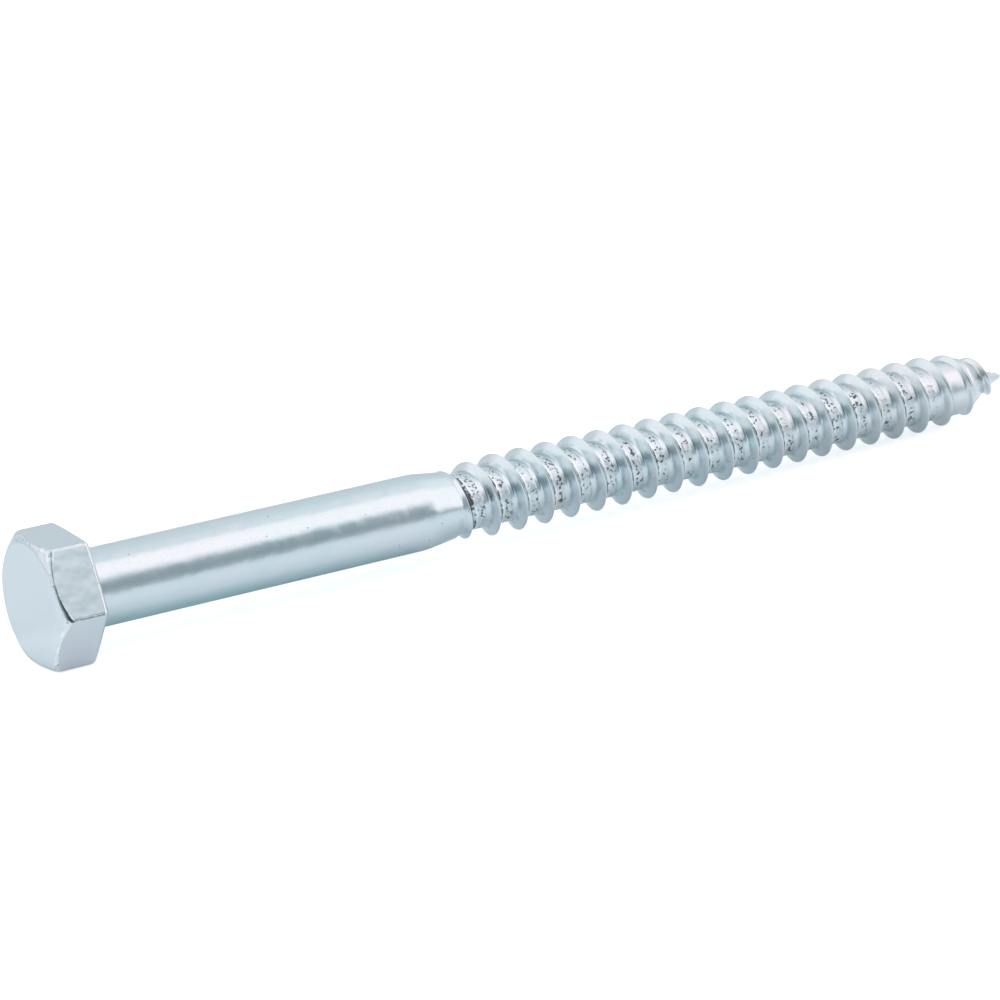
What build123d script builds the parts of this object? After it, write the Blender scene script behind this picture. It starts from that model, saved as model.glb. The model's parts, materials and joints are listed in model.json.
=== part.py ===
from build123d import *

import os
from math import atan2, ceil, cos, degrees, pi, radians, sin, sqrt, tan

# Hex-head coach screw, 3/8 inch by 5 inch with a wood thread of 7 turns to the inch, in
# millimetres. It is one piece of steel: the head is forged, and the thread and its
# gimlet point are rolled on the reduced end of the shank.
# The origin is the centre of the bearing face under the head. The screw lies as it
# rests on a level surface, on one flat of its head and on its thread near the point,
# so its axis leans a little down from +X.

# Head.
across_flats = 14.29
head_height = 5.8
chamfer_angle = 26.0
top_circle_diameter = 13.3
underhead_cone = 0.4

# Plain shank, the neck where it narrows to the rolling blank, and the step to the root.
shank_diameter = 9.0
shank_length = 43.9
neck_length = 3.8
neck_diameter = 8.0
step_length = 1.2

# Wood thread, right-handed, which tapers slightly to its end diameter. Its flanks open
# by flank_angle up to half the ridge's height and by crest_angle above that.
length = 128.7
pitch = 25.4 / 7
thread_diameter = 9.46
thread_end_diameter = 9.12
root_diameter = 6.93
crest_angle = 56.0
flank_angle = 48.0
run_in_turns = 1.95
thread_start_angle = -16.4

# Gimlet point, a cone with a finer bare cone at its tip. The crest curves in over
# nose_turns, and the ridge sinks into the cone over its last run_out_turns.
point_angle = 62.0
tip_angle = 36.0
tip_cone_diameter = 1.88
tip_diameter = 0.3
nose_turns = 5.4
nose_exponent = 4
run_out_turns = 0.2
bare_tip_turns = 0.76

# The ridge is lofted three quarters of a turn at a time, with its foot inside the core.
sections_per_turn = 16
steps_per_loft = 12
foot_depth = 0.2

# Worked out from the sizes above.
neck_end = shank_length + neck_length
thread_start = neck_end - pitch / 4
thread_end = length - bare_tip_turns * pitch
tip_cone_height = (tip_cone_diameter - tip_diameter) / 2
tip_cone_start = length - tip_cone_height / tan(radians(tip_angle / 2))


def make_head():
    """Forged hexagon with its top corners turned to a chamfer."""
    hexagon = RegularPolygon(across_flats / 2, 6, major_radius=False)
    prism = extrude(Plane.YZ * hexagon, amount=-head_height)
    corner_radius = across_flats / sqrt(3)
    top_radius = top_circle_diameter / 2
    drop = (corner_radius - top_radius) * tan(radians(chamfer_angle))
    outline = Polyline(
        (0, 0),
        (0, corner_radius),
        (drop - head_height, corner_radius),
        (-head_height, top_radius),
        (-head_height, 0),
        close=True,
    )
    return prism & revolve(make_face(outline), Axis.X)


def core_radius(x):
    """Radius of the thread's root at x, or of the point's two cones."""
    if x > tip_cone_start:
        return tip_diameter / 2 + (length - x) * tan(radians(tip_angle / 2))
    cone = tip_cone_diameter / 2 + (tip_cone_start - x) * tan(radians(point_angle / 2))
    return min(root_diameter / 2, cone)


def make_core():
    """Shank, neck, thread root and point, turned as one profile."""
    shank_radius = shank_diameter / 2
    cone_height = (root_diameter - tip_cone_diameter) / 2
    cone_start = tip_cone_start - cone_height / tan(radians(point_angle / 2))
    outline = Polyline(
        (0, 0),
        (0, shank_radius + underhead_cone),
        (underhead_cone, shank_radius),
        (shank_length, shank_radius),
        (neck_end, neck_diameter / 2),
        (neck_end + step_length, root_diameter / 2),
        (cone_start, root_diameter / 2),
        (tip_cone_start, tip_cone_diameter / 2),
        (length, tip_diameter / 2),
        (length, 0),
        close=True,
    )
    return revolve(make_face(outline), Axis.X)


def crest_radius(x):
    """Radius of the thread's crest at x, through run-in, full thread, nose and run-out."""
    along = (x - thread_start) / (thread_end - thread_start)
    full = (thread_diameter + (thread_end_diameter - thread_diameter) * along) / 2
    sunk = foot_depth / 2
    neck = neck_diameter / 2 - sunk
    run_in = min(1, (x - thread_start) / (run_in_turns * pitch))
    to_tip = min(1, (length - x) / (nose_turns * pitch))
    nose = full * (1 - (1 - to_tip) ** nose_exponent)
    run_out = min(1, (thread_end - x) / (run_out_turns * pitch))
    core = core_radius(x) - sunk
    return min(neck + (full - neck) * run_in, core + (nose - core) * run_out)


def ridge_section(x):
    """The ridge's section where its crest is at x, in the plane through the axis there."""
    angle = radians(thread_start_angle) + (x - thread_start) / pitch * 2 * pi
    foot = core_radius(x) - foot_depth
    crest = crest_radius(x)
    shoulder = (foot + crest) / 2
    half_shoulder = (crest - shoulder) * tan(radians(crest_angle / 2))
    half_foot = half_shoulder + (shoulder - foot) * tan(radians(flank_angle / 2))
    outline = Polyline(
        (-half_foot, foot),
        (-half_shoulder, shoulder),
        (0, crest),
        (half_shoulder, shoulder),
        (half_foot, foot),
        close=True,
    )
    plane = Plane((x, 0, 0), x_dir=(1, 0, 0), z_dir=(0, -sin(angle), cos(angle)))
    return plane * make_face(outline)


def make_ridge():
    """The helical ridge, as short lofts that meet at shared sections."""
    turns = (thread_end - thread_start) / pitch
    count = ceil(turns * sections_per_turn / steps_per_loft) * steps_per_loft
    step = (thread_end - thread_start) / count
    sections = [ridge_section(thread_start + i * step) for i in range(count + 1)]
    starts = range(0, count, steps_per_loft)
    return [loft(sections[i : i + steps_per_loft + 1]) for i in starts]


def resting_lean():
    """Angle between the axis and a level surface, on the first crest to touch it."""
    turns_to_bottom = ((-90 - thread_start_angle) / 360) % 1
    turns = int((thread_end - thread_start) / pitch)
    lowest = [thread_start + (turns_to_bottom + i) * pitch for i in range(turns)]
    return min(atan2(across_flats / 2 - crest_radius(x), x) for x in lowest)


screw = make_core() + make_ridge() + make_head()
screw = screw.rotate(Axis.Y, degrees(resting_lean()))
print("lean", degrees(resting_lean()), "volume", screw.volume)

os.makedirs("parts", exist_ok=True)
export_step(screw, "parts/coach_screw.step")
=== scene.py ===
import json
from math import atan2, cos, pi, radians, sin, sqrt, tan

import bmesh
import bpy
from mathutils import Matrix, Vector


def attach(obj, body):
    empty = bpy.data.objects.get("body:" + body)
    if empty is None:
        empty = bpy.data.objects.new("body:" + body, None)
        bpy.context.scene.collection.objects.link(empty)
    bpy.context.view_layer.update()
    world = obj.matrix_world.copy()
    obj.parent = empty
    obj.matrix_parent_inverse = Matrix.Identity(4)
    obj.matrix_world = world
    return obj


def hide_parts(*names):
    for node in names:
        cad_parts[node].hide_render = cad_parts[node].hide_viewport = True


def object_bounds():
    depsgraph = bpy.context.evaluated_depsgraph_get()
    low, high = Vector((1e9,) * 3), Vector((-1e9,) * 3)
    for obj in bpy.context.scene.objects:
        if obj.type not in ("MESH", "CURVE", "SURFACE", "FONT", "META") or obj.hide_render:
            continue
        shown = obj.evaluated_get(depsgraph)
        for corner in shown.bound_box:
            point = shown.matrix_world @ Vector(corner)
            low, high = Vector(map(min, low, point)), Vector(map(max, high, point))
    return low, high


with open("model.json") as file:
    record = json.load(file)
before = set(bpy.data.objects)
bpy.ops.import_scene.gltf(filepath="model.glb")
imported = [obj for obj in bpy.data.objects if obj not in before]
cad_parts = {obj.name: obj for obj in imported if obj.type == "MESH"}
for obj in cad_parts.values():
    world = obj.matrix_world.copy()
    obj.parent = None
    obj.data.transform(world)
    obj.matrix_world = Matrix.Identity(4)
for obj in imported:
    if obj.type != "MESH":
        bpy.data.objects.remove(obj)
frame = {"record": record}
cad_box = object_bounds()
mm = 0.001


# ---------------------------------------------------------------- how the screw lies
# A 3/8 inch coach screw lies on one flat of its head and on its thread near the point,
# so its axis leans a little down from the head. Everything below is modelled along +X
# from the bearing face under the head, then laid down by this lean.

head_seat = next(m for m in frame["record"]["mounts"] if m["name"] == "head_seat")
shank_pin = next(m for m in frame["record"]["mounts"] if m["name"] == "shank")
axis = Vector(head_seat["axis"]).normalized()
lay_down = Matrix.Translation(head_seat["pos_m"]) @ Matrix.Rotation(atan2(-axis.z, axis.x), 4, "Y")


# ---------------------------------------------------------------- head and plain shank
# The hexagon is hot forged, with its top corners turned to a chamfer and every edge a
# little rounded by the dies. The plain shank under it is drawn rod, 9 mm across, with
# a small radius where it meets the bearing face.

across_flats = 14.29 * mm
head_height = 5.8 * mm
chamfer_angle = radians(26)
top_radius = 6.65 * mm
top_edge_radius = 1.2 * mm
arris_radius = 0.35 * mm
corner_radius = 0.45 * mm
seat_edge_radius = 0.52 * mm
underhead_radius = 0.4 * mm
shank_radius = shank_pin["dims"]["r_mm"] * mm
shank_end = 42.6 * mm
around = 96

# Corners are knocked rounder than the flats: this much more for each millimetre out.
arris_wear = 0.6
seat_edge_wear = 0.15 * mm


def hexagon_outline(steps_on_flat=14, steps_on_corner=6):
    """Directions round the hexagon as (angle, distance) pairs, corner arcs included."""
    inner = across_flats / 2 - corner_radius
    half_side = inner * tan(pi / 6)
    before_corner = half_side * 0.97
    points = []
    for side in range(6):
        turn = (side + 0.5) * pi / 3
        flat = [half_side * (2 * i / steps_on_flat - 1) for i in range(steps_on_flat + 1)]
        flat[0:1] = [-half_side, -before_corner]
        flat[-1:] = [before_corner, half_side]
        spots = [(across_flats / 2, t) for t in flat]
        for i in range(1, steps_on_corner):
            a = pi / 3 * i / steps_on_corner
            spots.append((inner + corner_radius * cos(a), half_side + corner_radius * sin(a)))
        for x, y in spots:
            points.append((turn + atan2(y, x), sqrt(x * x + y * y)))
    return points


def rounded_profile(corners, steps=4):
    """A polyline of (x, r, radius) corners, with each corner rounded to its radius."""
    clear_of_rounding = 1.12
    points = [corners[0][:2]]
    for before, here, after in zip(corners, corners[1:], corners[2:]):
        p = Vector(here[:2])
        to_before = (Vector(before[:2]) - p).normalized()
        to_after = (Vector(after[:2]) - p).normalized()
        half = to_before.angle(to_after) / 2
        reach = here[2] / tan(half)
        centre = p + (to_before + to_after).normalized() * here[2] / sin(half)
        start = p + to_before * reach - centre
        swing = start.angle_signed(p + to_after * reach - centre)
        points.append((p + to_before * reach * clear_of_rounding)[:])
        for i in range(steps + 1):
            points.append((centre + Matrix.Rotation(-swing * i / steps, 2) @ start)[:])
        points.append((p + to_after * reach * clear_of_rounding)[:])
    return points + [corners[-1][:2]]


head = bmesh.new()
worn_edge_and_glints = head.verts.layers.float.new("worn_edge_and_glints")
edge_shade_line = head.verts.layers.float.new("edge_shade_line")
outline = hexagon_outline()

# One column of points runs down the head for each direction, and these are places in it.
arris = range(9, 14)
side_of_head = range(14, 16)
seat_edge = range(16, 21)
seat_edge_knocked = 0.4

# Painted shade darkens a line along both edges of one flat, deepening towards one end,
# and down the corner there.
shade_from = radians(122)
shade_to = radians(179)
shade_corner = pi
arris_line = 12
seat_line = 16
faint_shade = 0.6
seat_shade = 0.58
shade_deepens = 0.7
down_corner = (1, 1, faint_shade, faint_shade, faint_shade)
columns = []
for angle, reach in outline:
    chamfer_drop = (reach - top_radius) * tan(chamfer_angle)
    on_corner = across_flats / 2 / cos(angle % (pi / 3) - pi / 6) - reach > 0.01 * mm
    past_flat = reach - across_flats / 2
    profile = rounded_profile([
        (-head_height, top_radius / 2, 0),
        (-head_height, top_radius, top_edge_radius),
        (chamfer_drop - head_height, reach, arris_radius + arris_wear * past_flat),
        (0, reach, seat_edge_radius + seat_edge_wear * (past_flat / mm) ** 2),
        (0, shank_radius + 3 * underhead_radius, 0),
    ])
    column = [head.verts.new((x, r * cos(angle), r * sin(angle))) for x, r in profile]
    # Worn edges carry real nicks and, in the finish, painted glints.
    for i, point in enumerate(column):
        if i in arris or (on_corner and i in side_of_head):
            point[worn_edge_and_glints] = 1
        if i in seat_edge:
            point[worn_edge_and_glints] = seat_edge_knocked
    # Painted shade along the flat's edges and down the corner.
    if shade_from < angle < shade_to:
        column[arris_line][edge_shade_line] = min(1, faint_shade + (angle - shade_from) * shade_deepens)
        column[seat_line][edge_shade_line] = seat_shade
    if on_corner and abs(angle - shade_corner) < radians(6):
        for point, depth in zip(column[arris_line : seat_line + 1], down_corner):
            point[edge_shade_line] = depth
    columns.append(column)
for left, right in zip(columns, columns[1:] + columns[:1]):
    for a, b, c, d in zip(left, left[1:], right[1:], right):
        head.faces.new((a, b, c, d))
top_centre = head.verts.new((-head_height, 0, 0))
for left, right in zip(columns, columns[1:] + columns[:1]):
    head.faces.new((left[0], right[0], top_centre))

# Plain shank, from a little out on the bearing face.
shank_profile = [(0, shank_radius + 2.4 * underhead_radius)] + rounded_profile([
    (0, shank_radius + 2 * underhead_radius, 0),
    (0, shank_radius, underhead_radius),
    (shank_end, shank_radius, 0),
], 6)
ring_angles = [2 * pi * i / around for i in range(around)]
rings = []
for x, r in shank_profile:
    rings.append([head.verts.new((x, r * cos(a), r * sin(a))) for a in ring_angles])
for ring, after in zip(rings, rings[1:]):
    for i in range(around):
        j = (i + 1) % around
        head.faces.new((ring[i], ring[j], after[j], after[i]))

# Bearing face. Its rim and the shank's first ring have different counts of points, so
# each triangle takes in whichever of their points comes next round the axis.
rim = [column[-1] for column in columns]
rim_turned = [angle - outline[0][0] for angle, _ in outline[1:]] + [2 * pi]
i = j = 0
while i < len(rim) or j < around:
    rim_point = rim[i % len(rim)]
    ring_point = rings[0][j % around]
    if j == around or (i < len(rim) and rim_turned[i] <= 2 * pi * (j + 1) / around):
        i += 1
        head.faces.new((rim_point, rim[i % len(rim)], ring_point))
    else:
        j += 1
        head.faces.new((rim_point, rings[0][j % around], ring_point))


# ---------------------------------------------------------------- neck, thread and point
# The end of the shank is reduced to a thinner blank, and the coarse right-hand wood
# thread is rolled on it, 7 turns to the inch, out to a gimlet point. Rolling leaves
# the flanks smooth and the root between them rough, and tears the ridge where it starts.

thread_sizes = {
    "Blank Start": shank_end,
    "Neck Start": 43.9 * mm,
    "Neck End": 47.7 * mm,
    "Root Start": 48.9 * mm,
    "Point Cone Start": 121.98 * mm,
    "Tip Cone Start": 126.24 * mm,
    "Length": 128.5 * mm,
    "Shank Radius": shank_radius,
    "Neck Radius": 4.0 * mm,
    "Root Radius": 3.465 * mm,
    "Tip Cone Radius": 1.02 * mm,
    "Tip Radius": 0.25 * mm,
    "Pitch": 25.4 / 7 * mm,
    "Start Angle": radians(-16.4),
    "Thread Start": 46.793 * mm,
    "Thread End": 125.94 * mm,
    "Start Crest Radius": 4.735 * mm,
    "End Crest Radius": 4.542 * mm,
    "Head-side Flank Slope": 1 / tan(radians(28.5)),
    "Lip Head-side Slope": 0.35,
    "Torn Lip Slope Loss": 0.33,
    "Tip-side Flank Slope": 1 / tan(radians(33)),
    "Crest Rounding": 0.07 * mm,
    "Nose Crest Rounding": 0.22 * mm,
    "Neck Rounding": 0.14 * mm,
    "Head-side Root Rounding": 0.12 * mm,
    "Lip Root Rounding": 0.1 * mm,
    "Torn Lip Depth": 0.2 * mm,
    "Tip-side Root Rounding": 0.2 * mm,
    "Root Roughness": 0.05 * mm,
    "Run-in Turns": 1.95,
    "Nose Turns": 5.38,
    "Nose Fullness": 4.4,
    "Run-out Turns": 0.19,
}
steps_per_turn = around
steps_across = 34


def feed(entry, value):
    """Links a term or another node's output to an input, or sets the input to a value."""
    if isinstance(value, Term):
        value = value.socket
    if isinstance(value, bpy.types.NodeSocket):
        entry.id_data.links.new(value, entry)
    else:
        entry.default_value = value


class Term:
    """A number in a node tree. Arithmetic on it adds Math nodes."""

    def __init__(self, socket):
        self.socket = socket
        self.tree = socket.id_data

    def math(self, operation, *others):
        node = self.tree.nodes.new("ShaderNodeMath")
        node.operation = operation
        for entry, value in zip(node.inputs, (self, *others)):
            feed(entry, value)
        return Term(node.outputs[0])

    def __add__(self, other):
        return self.math("ADD", other)

    def __sub__(self, other):
        return self.math("SUBTRACT", other)

    def __mul__(self, other):
        return self.math("MULTIPLY", other)

    def __truediv__(self, other):
        return self.math("DIVIDE", other)

    def __pow__(self, other):
        return self.math("POWER", other)

    def __neg__(self):
        return self.math("MULTIPLY", -1.0)

    def clamped(self):
        return self.math("MINIMUM", 1.0).math("MAXIMUM", 0.0)


def ramp(value, low, high):
    """0 at low and beyond it, 1 at high and beyond it, and soft between."""
    node = value.tree.nodes.new("ShaderNodeMapRange")
    node.interpolation_type = "SMOOTHSTEP"
    feed(node.inputs["Value"], value)
    node.inputs["From Min"].default_value = low
    node.inputs["From Max"].default_value = high
    return Term(node.outputs["Result"])


def between(value, start, full_from, full_to, end):
    """1 from full_from to full_to, 0 outside start and end, and soft between."""
    return ramp(value, start, full_from) * ramp(value, end, full_to)


def noise(vector, grain, detail=2.0):
    """Even noise from 0 to 1 whose lumps are about one grain across."""
    node = vector.id_data.nodes.new("ShaderNodeTexNoise")
    feed(node.inputs["Vector"], vector)
    node.inputs["Scale"].default_value = 1 / grain
    node.inputs["Detail"].default_value = detail
    return Term(node.outputs[0])


thread_tree = bpy.data.node_groups.new("rolled_thread", "GeometryNodeTree")
thread_tree.is_modifier = True
group_in = thread_tree.nodes.new("NodeGroupInput")
for name, value in thread_sizes.items():
    entry = thread_tree.interface.new_socket(name, in_out="INPUT", socket_type="NodeSocketFloat")
    entry.default_value = value
thread_tree.interface.new_socket("Material", in_out="INPUT", socket_type="NodeSocketMaterial")
thread_tree.interface.new_socket("Geometry", in_out="OUTPUT", socket_type="NodeSocketGeometry")
size = {name: Term(group_in.outputs[name]) for name in thread_sizes}

# A strip one pitch wide is wound round the axis, its middle on the thread's crest. Its
# rows of points are closer together near the crest.
first_turn = -2.0
turns = 26
crowding = 1.35
strip = thread_tree.nodes.new("GeometryNodeMeshGrid")
feed(strip.inputs["Size X"], 1)
feed(strip.inputs["Size Y"], 1)
feed(strip.inputs["Vertices X"], turns * steps_per_turn + 1)
feed(strip.inputs["Vertices Y"], steps_across + 1)
split = thread_tree.nodes.new("ShaderNodeSeparateXYZ")
feed(split.inputs[0], thread_tree.nodes.new("GeometryNodeInputPosition").outputs[0])
turn = (Term(split.outputs["X"]) + 0.5) * turns + first_turn
off_crest = Term(split.outputs["Y"]) * 2
off_crest = off_crest.math("ABSOLUTE") ** crowding * off_crest.math("SIGN") * size["Pitch"] * 0.5
angle = turn * (2 * pi)
crest_at = (turn - size["Start Angle"] / (2 * pi)) * size["Pitch"] + size["Thread Start"]


def core_radius(x):
    """Blank, neck, thread root and the point's two cones, at a distance from the head."""
    shank = size["Shank Radius"]
    along_neck = (x - size["Neck Start"]) / (size["Neck End"] - size["Neck Start"])
    neck_to_root = (x - size["Neck End"]) / (size["Root Start"] - size["Neck End"])
    root_to_point = (x - size["Point Cone Start"]) / (size["Tip Cone Start"] - size["Point Cone Start"])
    point_to_tip = (x - size["Tip Cone Start"]) / (size["Length"] - size["Tip Cone Start"])
    neck = shank - along_neck * (shank - size["Neck Radius"])
    radius = shank.math("SMOOTH_MIN", neck, size["Neck Rounding"]).math("MAXIMUM", size["Neck Radius"])
    radius -= neck_to_root.clamped() * (size["Neck Radius"] - size["Root Radius"])
    radius -= root_to_point.clamped() * (size["Root Radius"] - size["Tip Cone Radius"])
    radius -= point_to_tip.clamped() * (size["Tip Cone Radius"] - size["Tip Radius"])
    blunt = ((size["Length"] - x) / size["Tip Radius"]).clamped() ** 0.5
    return radius * blunt


def crest_radius(x):
    """The crest through its run-in, full thread, curved nose and run-out."""
    along = ((x - size["Thread Start"]) / (size["Thread End"] - size["Thread Start"])).clamped()
    full = size["Start Crest Radius"] + (size["End Crest Radius"] - size["Start Crest Radius"]) * along
    run_in = ((x - size["Thread Start"]) / (size["Run-in Turns"] * size["Pitch"])).clamped()
    risen = size["Neck Radius"] + (full - size["Neck Radius"]) * run_in
    out_of_nose = ((size["Length"] - x) / (size["Nose Turns"] * size["Pitch"])).clamped()
    nose = full * (-((-out_of_nose + 1) ** size["Nose Fullness"]) + 1)
    core = core_radius(x)
    run_out = ((size["Thread End"] - x) / (size["Run-out Turns"] * size["Pitch"])).clamped()
    sunk = core + (nose - core) * run_out
    begun = x.math("GREATER_THAN", size["Thread Start"])
    return risen.math("MINIMUM", sunk) * begun


x = (crest_at + off_crest).math("MAXIMUM", size["Blank Start"]).math("MINIMUM", size["Length"])
from_tip = size["Length"] - x
crest = crest_radius(crest_at)
into_nose = ramp(from_tip, 17 * mm, 8 * mm)
rounding = size["Crest Rounding"]
rounding += into_nose * (size["Nose Crest Rounding"] - rounding)
tip_side = off_crest.math("GREATER_THAN", 0.0)

# The ridge starts as a lip that lies almost flat towards the head, and is torn down over
# a short stretch. Towards the point its crest grows rounder.
first_lip = ramp(crest_at, 49.9 * mm, 49.0 * mm)
torn_stretch = between(crest_at, 48.05 * mm, 48.4 * mm, 48.65 * mm, 49.0 * mm)
slope = size["Head-side Flank Slope"]
slope += first_lip * (size["Lip Head-side Slope"] - slope) - torn_stretch * size["Torn Lip Slope Loss"]
slope += tip_side * (size["Tip-side Flank Slope"] - slope)
fall = ((off_crest * off_crest + rounding * rounding).math("SQRT") - rounding) * slope
core = core_radius(x)
ridge = crest - torn_stretch * size["Torn Lip Depth"] - fall
fillet = size["Head-side Root Rounding"]
fillet += first_lip * (size["Lip Root Rounding"] - fillet)
fillet += tip_side * (size["Tip-side Root Rounding"] - fillet)
radius = core.math("SMOOTH_MAX", ridge, fillet).math("MINIMUM", core.math("MAXIMUM", crest))

# The root is rough from the seam at the foot of one ridge to a smooth shoulder at the
# next, and most torn in the middle. The seam is dark with dirt and painted shade, the
# crease under the next flank is darkened with painted shade, and each ridge carries
# painted highlights beside its crest and along its foot.
rolled = ramp(x - size["Neck End"], -0.6 * mm, 0.6 * mm) * ramp(from_tip, 10 * mm, 17 * mm)
on_tip_side = ramp(off_crest, 0.62 * mm, 0.80 * mm)
before_shoulder = ramp(-off_crest, 1.25 * mm, 1.60 * mm) * (-tip_side + 1.0)
rough_root = (on_tip_side + before_shoulder).clamped() * rolled
# The seam's dark line is dirt and painted shade.
seam_and_shade = between(off_crest, 0.62 * mm, 0.72 * mm, 0.88 * mm, 1.00 * mm) * rolled
# Painted highlights along the foot and beside the crest.
painted_foot_highlight = between(off_crest, 0.88 * mm, 0.98 * mm, 1.08 * mm, 1.30 * mm)
painted_crest_highlight = between(off_crest, -0.06 * mm, 0.06 * mm, 0.20 * mm, 0.40 * mm) * 0.4
painted_highlight = (painted_foot_highlight + painted_crest_highlight) * rolled
torn = ramp(off_crest.math("ABSOLUTE"), 1.15 * mm, 1.55 * mm) * rolled
# Painted shade in the crease under the next flank.
crease_shade = between(-off_crest, 0.48 * mm, 0.62 * mm, 0.70 * mm, 0.82 * mm) * rolled
# Painted shadow on the tip-side flank behind the first lip.
lip_painted_shadow = between(off_crest, 0.02 * mm, 0.10 * mm, 0.4 * mm, 1.3 * mm) * torn_stretch
worn_nose = ramp(from_tip, 45 * mm, 10 * mm)


def at_this_turn(radius):
    """The place at this turn's angle and distance from the head, on that radius."""
    node = thread_tree.nodes.new("ShaderNodeCombineXYZ")
    for entry, value in zip(node.inputs, (x, radius * angle.math("COSINE"), radius * angle.math("SINE"))):
        feed(entry, value)
    return node.outputs[0]


lumps = noise(at_this_turn(core), 0.7 * mm) * 2.0 - 1.0
radius += lumps * size["Root Roughness"] * rough_root


def keep(mesh, name, value):
    """Stores a number on every point of the flat strip, for the finish to read."""
    node = thread_tree.nodes.new("GeometryNodeStoreNamedAttribute")
    node.data_type = "FLOAT"
    node.domain = "POINT"
    feed(node.inputs["Name"], name)
    feed(node.inputs["Geometry"], mesh)
    feed(node.inputs["Value"], value)
    return node.outputs[0]


root_masks = {
    "rough_root": rough_root,
    "root_seam_and_shade": seam_and_shade,
    "painted_highlight": painted_highlight,
    "torn_root": torn,
    "root_crease_shade": crease_shade,
    "lip_painted_shadow": lip_painted_shadow,
    "worn_nose": worn_nose,
}
masked = strip.outputs["Mesh"]
for name, value in root_masks.items():
    masked = keep(masked, name, value)
wound = thread_tree.nodes.new("GeometryNodeSetPosition")
feed(wound.inputs["Geometry"], masked)
feed(wound.inputs["Position"], at_this_turn(radius))
weld_distance = 0.002 * mm
weld = thread_tree.nodes.new("GeometryNodeMergeByDistance")
feed(weld.inputs["Distance"], weld_distance)
feed(weld.inputs["Geometry"], wound.outputs[0])
realize = thread_tree.nodes.new("GeometryNodeRealizeInstances")
feed(realize.inputs[0], weld.outputs[0])
plate = thread_tree.nodes.new("GeometryNodeSetMaterial")
feed(plate.inputs["Geometry"], realize.outputs[0])
feed(plate.inputs["Material"], group_in.outputs["Material"])
group_out = thread_tree.nodes.new("NodeGroupOutput")
feed(group_out.inputs[0], plate.outputs[0])


# ---------------------------------------------------------------- finish
# Bright zinc, plated over the whole screw. It is pale and slightly blue, a little
# cloudy, and finely pitted. It lies smooth on the drawn shank and the rolled flanks,
# is softly dimpled on the forged head, and is coarse and dirty in the thread's root.
# Painted glints, highlights and shade are added on the head's edges and in the thread.

bluish_zinc = (0.70, 0.785, 0.805)
pale_zinc = (0.74, 0.79, 0.81)
mottled_zinc = (0.50, 0.56, 0.60)
dark_pit = (0.16, 0.20, 0.22)
zinc_sheen = (0.86, 0.87, 0.87, 1)
bump_height = 0.006 * mm
zinc_skin = bpy.data.node_groups.new("bright_zinc_skin", "ShaderNodeTree")
for name, kind in (("Position", "Vector"), ("Ripple Length", "Float"), ("Pit Spacing", "Float")):
    zinc_skin.interface.new_socket(name, in_out="INPUT", socket_type="NodeSocket" + kind)
for name, kind in (("Color", "Color"), ("Roughness", "Float"), ("Height", "Float")):
    zinc_skin.interface.new_socket(name, in_out="OUTPUT", socket_type="NodeSocket" + kind)


def mix(amount, first, second):
    """The first colour where amount is 0 and the second where it is 1."""
    tree = amount.tree if isinstance(amount, Term) else first.id_data
    node = tree.nodes.new("ShaderNodeMix")
    node.data_type = "RGBA"
    feed(node.inputs[0], amount)
    for entry, colour in zip(node.inputs[6:8], (first, second)):
        feed(entry, (*colour, 1) if isinstance(colour, tuple) else colour)
    return node.outputs[2]


def pits(vector, spacing, spot_size, share):
    """1 inside scattered round spots, on a share of the cells of that spacing."""
    tree = vector.id_data
    cells = tree.nodes.new("ShaderNodeTexVoronoi")
    feed(cells.inputs["Vector"], vector)
    feed(cells.inputs["Scale"], spacing ** -1.0)
    picked = tree.nodes.new("ShaderNodeSeparateColor")
    feed(picked.inputs[0], cells.outputs["Color"])
    spot = ramp(Term(cells.outputs["Distance"]), spot_size * 1.5, spot_size * 0.6)
    return spot * Term(picked.outputs[0]).math("LESS_THAN", share)


skin_in = zinc_skin.nodes.new("NodeGroupInput")
skin_at = skin_in.outputs["Position"]
cloud = noise(skin_at, 6 * mm, 1.0)
mottle = noise(skin_at, 0.3 * mm, 1.0)
skin_pits = pits(skin_at, Term(skin_in.outputs["Pit Spacing"]), 0.07, 0.35)
ripple_at = zinc_skin.nodes.new("ShaderNodeVectorMath")
ripple_at.operation = "DIVIDE"
feed(ripple_at.inputs[0], skin_at)
feed(ripple_at.inputs[1], skin_in.outputs["Ripple Length"])
ripple = noise(ripple_at.outputs[0], 1.0, 1.0)
swell = ripple * Term(skin_in.outputs["Ripple Length"]) * (5 / mm)
skin_colour = mix(ramp(cloud, 0.35, 0.65), bluish_zinc, pale_zinc)
skin_colour = mix(ramp(mottle, 0.3, 0.8) * 0.12, skin_colour, mottled_zinc)
skin_colour = mix(skin_pits * 0.6, skin_colour, dark_pit)
skin_out = zinc_skin.nodes.new("NodeGroupOutput")
feed(skin_out.inputs["Color"], skin_colour)
feed(skin_out.inputs["Roughness"], cloud * 0.08 + mottle * 0.05 + skin_pits * 0.2 + 0.13)
feed(skin_out.inputs["Height"], swell + mottle * 0.10 - skin_pits * 1.5)


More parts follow.
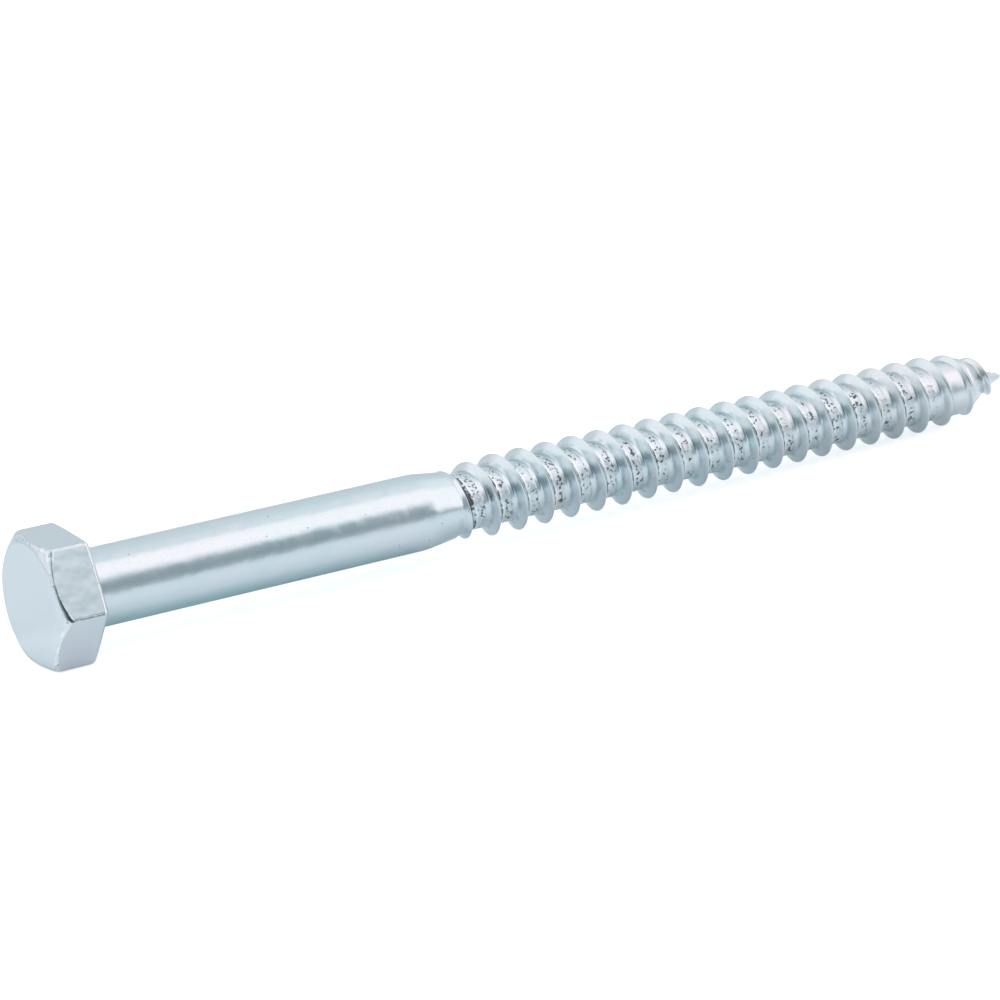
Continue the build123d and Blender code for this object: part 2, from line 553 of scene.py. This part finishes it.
def zinc_material(name, ripple_length, pit_spacing):
    """A metal shader on the shared zinc skin, and the nodes that its own wear is added to."""
    material = bpy.data.materials.new(name)
    material.use_nodes = True
    tree = material.node_tree
    shader = tree.nodes["Principled BSDF"]
    feed(shader.inputs["Metallic"], 1)
    feed(shader.inputs["Specular Tint"], zinc_sheen)
    position = tree.nodes.new("ShaderNodeTexCoord").outputs["Object"]
    skin = tree.nodes.new("ShaderNodeGroup")
    skin.node_tree = zinc_skin
    feed(skin.inputs["Position"], position)
    feed(skin.inputs["Ripple Length"], ripple_length)
    feed(skin.inputs["Pit Spacing"], pit_spacing)
    feed(shader.inputs["Roughness"], skin.outputs["Roughness"])
    bump = tree.nodes.new("ShaderNodeBump")
    feed(bump.inputs["Distance"], bump_height)
    feed(shader.inputs["Normal"], bump.outputs[0])
    return material, tree, shader, skin, bump, position


forged_zinc, tree, shader, skin, bump, position = zinc_material("zinc_on_forged_head", 1.6 * mm, 1.8 * mm)
forged_grey = (0.755, 0.775, 0.785)
painted_edge_glint = (0.93, 0.95, 0.97)
dark_nick = (0.07, 0.09, 0.10)
painted_edge_shade = (0.05, 0.07, 0.075)


def painted(name):
    """A number that the piece's mesh carries, in the material being made."""
    node = tree.nodes.new("ShaderNodeAttribute")
    node.attribute_name = name
    return Term(node.outputs["Fac"])


# The forged edges are knocked, with small dark nicks and painted glints in bright patches,
# and painted shade darkens a line round one face.
edge = painted("worn_edge_and_glints")
edge_shade = ramp(painted("edge_shade_line"), 0.35, 0.75)
painted_glint_patches = ramp(noise(position, 0.8 * mm, 2.0), 0.45, 0.60)
nicks = ramp(noise(position, 0.45 * mm, 2.0), 0.62, 0.67)
edge_shade_depth = ramp(noise(position, 1.2 * mm, 3.0), 0.32, 0.50)
head_colour = mix(0.5, skin.outputs["Color"], forged_grey)
# Painted glints: bright patches on the worn edges.
head_colour = mix(edge * painted_glint_patches * 0.4, head_colour, painted_edge_glint)
head_colour = mix(edge * nicks * 0.5, head_colour, dark_nick)
# Painted shade: a dark line round one face and down its corner.
head_colour = mix(edge_shade * edge_shade_depth * 0.92, head_colour, painted_edge_shade)
feed(shader.inputs["Base Color"], head_colour)
feed(bump.inputs["Height"], Term(skin.outputs["Height"]) + edge * (noise(position, 0.5 * mm, 2.0) * 6.0))

rolled_zinc, tree, shader, skin, bump, position = zinc_material("zinc_on_rolled_shank", 2.2 * mm, 1.3 * mm)
greyed_nose = (0.80, 0.80, 0.80)
pale_crust = (0.80, 0.86, 0.875)
grey_crust = (0.42, 0.47, 0.50)
painted_crease_shade = (0.28, 0.42, 0.48)
painted_highlight_white = (0.94, 1.0, 1.0)
root_dirt_and_shade = (0.05, 0.065, 0.07)

# The root is pale and crusted, with dark tears and flecks, dirt and painted shade in its
# seam, painted shade in its crease, a painted shadow behind the first lip, and painted
# highlights by each crest and foot. The point is greyer and duller than the rest,
# because it is worked most.
on_root = {name: painted(name) for name in root_masks}
rough = on_root["rough_root"]
lip_shadow = on_root["lip_painted_shadow"]
nose = on_root["worn_nose"]
crust = noise(position, 0.42 * mm, 3.0)
flecks = pits(position, 0.50 * mm, 0.22, 0.25) * rough
tear_patches = ramp(noise(position, 1.1 * mm, 1.0), 0.40, 0.52)
tears = ramp(crust, 0.56, 0.61) * tear_patches * on_root["torn_root"]
seam_gaps = ramp(noise(position, 0.6 * mm, 2.0), 0.42, 0.54)
# Painted shadow behind the first lip, in jagged patches.
jagged_lip_shadow = ramp(noise(position, 0.35 * mm, 3.0) + lip_shadow * 0.4, 0.72, 0.80) * ramp(lip_shadow, 0.0, 0.1)
dirt_and_shade = (flecks + tears + on_root["root_seam_and_shade"] * seam_gaps + jagged_lip_shadow).clamped()
crease_shade_gaps = ramp(noise(position, 1.4 * mm, 2.0), 0.35, 0.60)
thread_colour = mix(nose * 0.5, skin.outputs["Color"], greyed_nose)
thread_colour = mix(rough * 0.5, thread_colour, pale_crust)
thread_colour = mix(rough * ramp(crust, 0.50, 0.25) * 0.5, thread_colour, grey_crust)
# Painted shade in the crease.
thread_colour = mix(on_root["root_crease_shade"] * crease_shade_gaps * 0.55, thread_colour, painted_crease_shade)
# Painted highlights by the crests and feet.
thread_colour = mix(on_root["painted_highlight"] * 0.8, thread_colour, painted_highlight_white)
# Dark flecks, tears and seam dirt, with painted shade in the seam and behind the lip.
thread_colour = mix(dirt_and_shade * 0.88, thread_colour, root_dirt_and_shade)
feed(shader.inputs["Base Color"], thread_colour)
feed(shader.inputs["Roughness"], Term(skin.outputs["Roughness"]) + rough * 0.14 + nose * 0.06)
feed(bump.inputs["Height"], Term(skin.outputs["Height"]) + rough * (crust * 14.0 - dirt_and_shade * 20.0))


# ---------------------------------------------------------------- one piece
# Head, shank and thread are a single piece of steel, so their surfaces are joined into
# one closed skin. The plating differs only between the head and the rest.

holder = bpy.data.objects.new("rolled_thread", bpy.data.meshes.new("rolled_thread"))
bpy.context.scene.collection.objects.link(holder)
modifier = holder.modifiers.new("rolled_thread", "NODES")
modifier.node_group = thread_tree
for entry in thread_tree.interface.items_tree:
    if entry.in_out == "INPUT":
        is_material = entry.name == "Material"
        modifier[entry.identifier] = rolled_zinc if is_material else thread_sizes[entry.name]
bpy.context.view_layer.update()
depsgraph = bpy.context.evaluated_depsgraph_get()
thread_mesh = bpy.data.meshes.new_from_object(holder.evaluated_get(depsgraph))
bpy.data.objects.remove(holder)

forged_slot = 0
rolled_slot = 1
for face in head.faces:
    on_head = face.calc_center_median().x < 0.01 * mm
    face.material_index = forged_slot if on_head else rolled_slot
thread_mesh.polygons.foreach_set("material_index", [rolled_slot] * len(thread_mesh.polygons))
for name in root_masks:
    head.verts.layers.float.new(name)
head.from_mesh(thread_mesh)
bmesh.ops.remove_doubles(head, verts=head.verts[:], dist=weld_distance)

# The strip's last turns shrink to nothing at the tip, and are closed there in one point.
tip = Vector((thread_sizes["Length"], 0, 0))
at_tip = [v for v in head.verts if (v.co - tip).length < 0.04 * mm]
bmesh.ops.pointmerge(head, verts=at_tip, merge_co=tip)
bmesh.ops.dissolve_degenerate(head, dist=0.0005 * mm, edges=head.edges[:])
bmesh.ops.recalc_face_normals(head, faces=head.faces[:])
if head.calc_volume(signed=True) < 0:
    bmesh.ops.reverse_faces(head, faces=head.faces[:])
screw_mesh = bpy.data.meshes.new("coach_screw_plated")
head.to_mesh(screw_mesh)
head.free()
screw_mesh.transform(lay_down)
screw_mesh.polygons.foreach_set("use_smooth", [True] * len(screw_mesh.polygons))
for material in (forged_zinc, rolled_zinc):
    screw_mesh.materials.append(material)
screw = bpy.data.objects.new("coach_screw_plated", screw_mesh)
bpy.context.scene.collection.objects.link(screw)
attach(screw, "root")
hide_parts("coach_screw")


# ---------------------------------------------------------------- floor, light and camera
# The screw lies on a wide sheet of white paper in a pale room. Soft round lamps stand
# beyond its head and beyond its point, and the room in front of it is open and darker.

floor_reach = 3.0
floor_height = cad_box[0][2]
corners = [(x * floor_reach, y * floor_reach) for x, y in ((-1, -1), (1, -1), (1, 1), (-1, 1))]
floor_mesh = bpy.data.meshes.new("floor")
floor_mesh.from_pydata([(x, y, floor_height) for x, y in corners], [], [(0, 1, 2, 3)])
floor = bpy.data.objects.new("floor", floor_mesh)
bpy.context.scene.collection.objects.link(floor)

paper = bpy.data.materials.new("white_paper")
paper.use_nodes = True
tree = paper.node_tree
tree.nodes.clear()
seen = tree.nodes.new("ShaderNodeLightPath")
mirrored = Term(seen.outputs["Is Glossy Ray"])
on_paper = tree.nodes.new("ShaderNodeSeparateXYZ")
feed(on_paper.inputs[0], tree.nodes.new("ShaderNodeTexCoord").outputs["Object"])
paper_x = Term(on_paper.outputs["X"])
paper_y = Term(on_paper.outputs["Y"])

# Stretches of the paper that the metal mirrors, named by what they lie next to. In the
# metal's reflection alone the paper is painted lighter overall, with painted light on
# some stretches and painted shade on others.
near_axis = between(paper_y, -14 * mm, -8 * mm, 6 * mm, 12 * mm)
beyond_head = between(paper_x, -20 * mm, -12 * mm, -7 * mm, -4 * mm) * near_axis
beside_head = between(paper_x, -9 * mm, -6 * mm, 1 * mm, 4 * mm)
beside_head *= between(paper_y, -9 * mm, -5.5 * mm, -4.5 * mm, -3.5 * mm)
under_shank = between(paper_x, 0.0, 3 * mm, 42 * mm, 46 * mm) * ramp(paper_y, -7 * mm, -4 * mm)
along_thread = ramp(paper_x, 42 * mm, 52 * mm)
under_thread = along_thread * ramp(paper_y, -3 * mm, 0.0)
beside_thread = along_thread * between(paper_y, -10 * mm, -6 * mm, -3.5 * mm, -2.0 * mm)
far_behind = ramp(paper_y, 0.05, 0.30)
towards_front = ramp(paper_y, 0.0, -0.14)

paper_white = (0.9, 0.9, 0.9)
painted_mirrored_white = (1.0, 1.055, 1.085)
painted_stretches = (
    (under_shank, (0.84, 0.98, 1.0)),
    (beside_head, (0.93, 0.965, 1.03)),
    (far_behind, (0.80, 0.85, 0.875)),
    (beside_thread * 0.16, (0.4, 0.44, 0.46)),
    (towards_front, (0.52, 0.57, 0.59)),
)
# Painted light and shade, seen only in the metal's reflection.
paper_colour = mix(mirrored, paper_white, painted_mirrored_white)
for stretch, colour in painted_stretches:
    paper_colour = mix(mirrored * stretch, paper_colour, colour)
diffuse = tree.nodes.new("ShaderNodeBsdfDiffuse")
feed(diffuse.inputs["Color"], paper_colour)
glow = tree.nodes.new("ShaderNodeEmission")
# Painted light: glow seen only in the metal's reflection.
painted_mirrored_glow = mirrored * (beyond_head * 0.13 + beside_head * 0.11 + under_thread * 0.17)
feed(glow.inputs["Strength"], Term(seen.outputs["Is Camera Ray"]) * 0.62 + painted_mirrored_glow)
both = tree.nodes.new("ShaderNodeAddShader")
feed(both.inputs[0], diffuse.outputs[0])
feed(both.inputs[1], glow.outputs[0])
feed(tree.nodes.new("ShaderNodeOutputMaterial").inputs["Surface"], both.outputs[0])
floor_mesh.materials.append(paper)

world = bpy.data.worlds.new("studio")
bpy.context.scene.world = world
world.use_nodes = True
tree = world.node_tree
tree.nodes.clear()
outlook = tree.nodes.new("ShaderNodeTexCoord").outputs["Generated"]


def direction(azimuth, elevation):
    """The unit vector towards an azimuth and an elevation, both in degrees."""
    a, e = radians(azimuth), radians(elevation)
    return Vector((cos(e) * cos(a), cos(e) * sin(a), sin(e)))


def towards(azimuth, elevation=0.0):
    """Cosine of the angle between the outlook and that direction."""
    node = tree.nodes.new("ShaderNodeVectorMath")
    node.operation = "DOT_PRODUCT"
    feed(node.inputs[0], outlook)
    feed(node.inputs[1], direction(azimuth, elevation))
    return Term(node.outputs["Value"])


# Walls, paler towards the ceiling, and the open room in front from the floor up.
pale_wall = (0.757, 0.84, 0.894)
low_wall = (0.74, 0.80, 0.85)
open_room_grey = (0.312, 0.388, 0.428)
height = towards(0, 90)
light = mix(ramp(height, sin(radians(12)), sin(radians(32))), low_wall, pale_wall)
open_room = ramp(towards(-105), 0.44, 0.60) * ramp(height, sin(radians(35)), sin(radians(25.5)))
open_room *= ramp(height, sin(radians(-8)), sin(radians(10))) * 0.45 + 0.55
light = mix(open_room, light, open_room_grey)

# Round patches with soft edges: a dark one in front, then the lamps. Each has its azimuth
# and elevation, the angles from its middle at which it is full and at which it ends, how
# much it hides of what is behind it, and its colour.
patches = (
    (-112, 18, 12, 28, 0.85, (0.06, 0.08, 0.085)),
    (155, 40, 22, 38, 1.0, (1.06, 1.076, 1.108)),
    (169, 8, 4, 10, 1.0, (0.94, 1.01, 1.06)),
    (12, 40, 2, 30, 0.55, (1.23, 1.175, 1.215)),
    (-50, 62, 18, 28, 1.0, (1.22, 1.165, 1.20)),
    (-28, 41, 12, 24, 1.0, (1.25, 1.195, 1.235)),
    (-38, 18, 8, 19, 1.0, (1.30, 1.235, 1.275)),
)
for azimuth, elevation, full, end, cover, colour in patches:
    patch = ramp(towards(azimuth, elevation), cos(radians(end)), cos(radians(full)))
    light = mix(patch * cover, light, colour)
seen = tree.nodes.new("ShaderNodeLightPath")
plain_white = (1.0, 1.0, 1.0)
light = mix(Term(seen.outputs["Is Camera Ray"]), light, plain_white)
background = tree.nodes.new("ShaderNodeBackground")
feed(background.inputs["Color"], light)
feed(tree.nodes.new("ShaderNodeOutputWorld").inputs["Surface"], background.outputs[0])

# The camera stands in front, on the head's side, and looks a little down at the middle.
camera_target = Vector((0.05496, -0.00031, -0.00199))
camera_distance = 0.5326
camera_azimuth = -121.08
camera_elevation = 19.90
camera_roll = radians(3.0)
camera_data = bpy.data.cameras.new("camera")
camera_data.lens = 164.88
camera_data.sensor_width = 36
away = direction(camera_azimuth, camera_elevation)
camera = bpy.data.objects.new("camera", camera_data)
camera.matrix_world = (
    Matrix.Translation(camera_target + away * camera_distance)
    @ away.to_track_quat("Z", "Y").to_matrix().to_4x4()
    @ Matrix.Rotation(-camera_roll, 4, "Z")
)
bpy.context.scene.collection.objects.link(camera)
bpy.context.scene.camera = camera
bpy.context.scene.view_settings.view_transform = "Standard"
